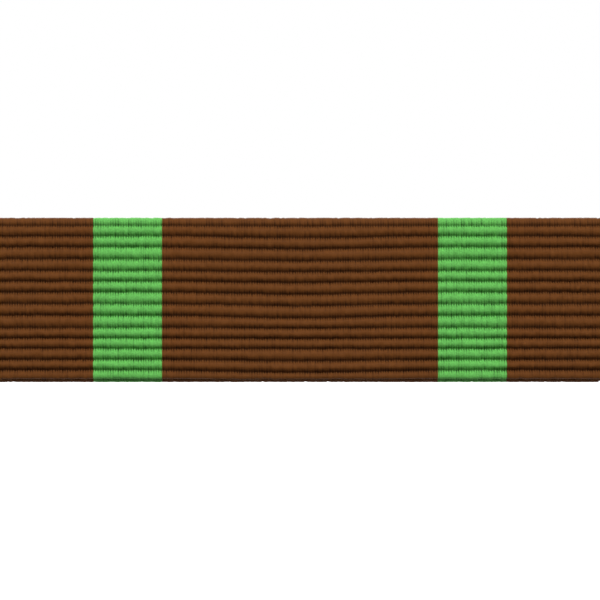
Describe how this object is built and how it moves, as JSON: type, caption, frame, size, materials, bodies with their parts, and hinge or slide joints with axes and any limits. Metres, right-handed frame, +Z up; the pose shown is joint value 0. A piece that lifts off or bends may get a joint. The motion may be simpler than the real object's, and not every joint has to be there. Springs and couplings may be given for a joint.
{
  "type": "service medal ribbon bar",
  "caption": "Ribbed brown ribbon with two green stripes, wrapped on a brass unit that slides on a bar with nail posts and butterfly clutches.",
  "frame": {"origin": "centre of the mounting bar's back face, the plane that lies on the cloth", "axes": "+X along the ribbon, to the right as it is looked at; +Y out of the back, into the cloth; +Z up as it is worn"},
  "size_m": [0.035, 0.0106, 0.0096],
  "materials": {
    "ribbon_cloth": "ribbed grosgrain, brown with two green stripes",
    "unit_brass": "rolled strip, drawn along its length",
    "bar_brass": "stamped strip, lightly tarnished",
    "post_metal": "turned",
    "braze": "dull fillet",
    "clutch_brass": "stamped and tumbled",
    "eyelet_brass": "flared tube",
    "wing_brass": "stamped and tumbled",
    "pin_steel": "drawn wire",
    "spring_steel": "blued strip"
  },
  "bodies": {
    "bar": {"mounting_bar": "bar_brass", "left_post": "post_metal", "right_post": "post_metal", "post_brazing": "braze"},
    "ribbon_unit": {"ribbon": "ribbon_cloth", "ribbon_core": "unit_brass", "ribbon_channel": "unit_brass"},
    "left_clutch": {"left_clutch_disc": "clutch_brass", "left_clutch_yoke": "clutch_brass", "left_clutch_eyelet": "eyelet_brass", "left_clutch_pivot_pins": "pin_steel", "left_clutch_spring": "spring_steel"},
    "left_clutch_outer_wing": {"left_clutch_outer_wing": "wing_brass"},
    "left_clutch_inner_wing": {"left_clutch_inner_wing": "wing_brass"},
    "right_clutch": {"right_clutch_disc": "clutch_brass", "right_clutch_yoke": "clutch_brass", "right_clutch_eyelet": "eyelet_brass", "right_clutch_pivot_pins": "pin_steel", "right_clutch_spring": "spring_steel"},
    "right_clutch_outer_wing": {"right_clutch_outer_wing": "wing_brass"},
    "right_clutch_inner_wing": {"right_clutch_inner_wing": "wing_brass"}
  },
  "joints": [
    {"name": "ribbon_slide", "type": "slide", "parent": "bar", "child": "ribbon_unit", "axis": [1, 0, 0], "range_m": [-0.036, 0.036]},
    {"name": "left_clutch_pull", "type": "slide", "parent": "bar", "child": "left_clutch", "axis": [0, 1, 0], "range_m": [0, 0.012]},
    {"name": "right_clutch_pull", "type": "slide", "parent": "bar", "child": "right_clutch", "axis": [0, 1, 0], "range_m": [0, 0.012]},
    {"name": "left_outer_wing_squeeze", "type": "hinge", "parent": "left_clutch", "child": "left_clutch_outer_wing", "pos_m": [-0.01095, 0.00445, 0], "axis": [0, 0, -1], "range_deg": [0, 12], "stiffness_Nm_per_rad": 0.0001, "deforming": ["left_clutch_spring"]},
    {"name": "left_inner_wing_squeeze", "type": "hinge", "parent": "left_clutch", "child": "left_clutch_inner_wing", "pos_m": [-0.00805, 0.00445, 0], "axis": [0, 0, 1], "range_deg": [0, 12], "stiffness_Nm_per_rad": 0.0001},
    {"name": "right_outer_wing_squeeze", "type": "hinge", "parent": "right_clutch", "child": "right_clutch_outer_wing", "pos_m": [0.01095, 0.00445, 0], "axis": [0, 0, 1], "range_deg": [0, 12], "stiffness_Nm_per_rad": 0.0001, "deforming": ["right_clutch_spring"]},
    {"name": "right_inner_wing_squeeze", "type": "hinge", "parent": "right_clutch", "child": "right_clutch_inner_wing", "pos_m": [0.00805, 0.00445, 0], "axis": [0, 0, -1], "range_deg": [0, 12], "stiffness_Nm_per_rad": 0.0001}
  ],
  "couplings": [
    {"joint": "left_inner_wing_squeeze", "follows": "left_outer_wing_squeeze", "ratio": 1},
    {"joint": "right_inner_wing_squeeze", "follows": "right_outer_wing_squeeze", "ratio": 1}
  ]
}
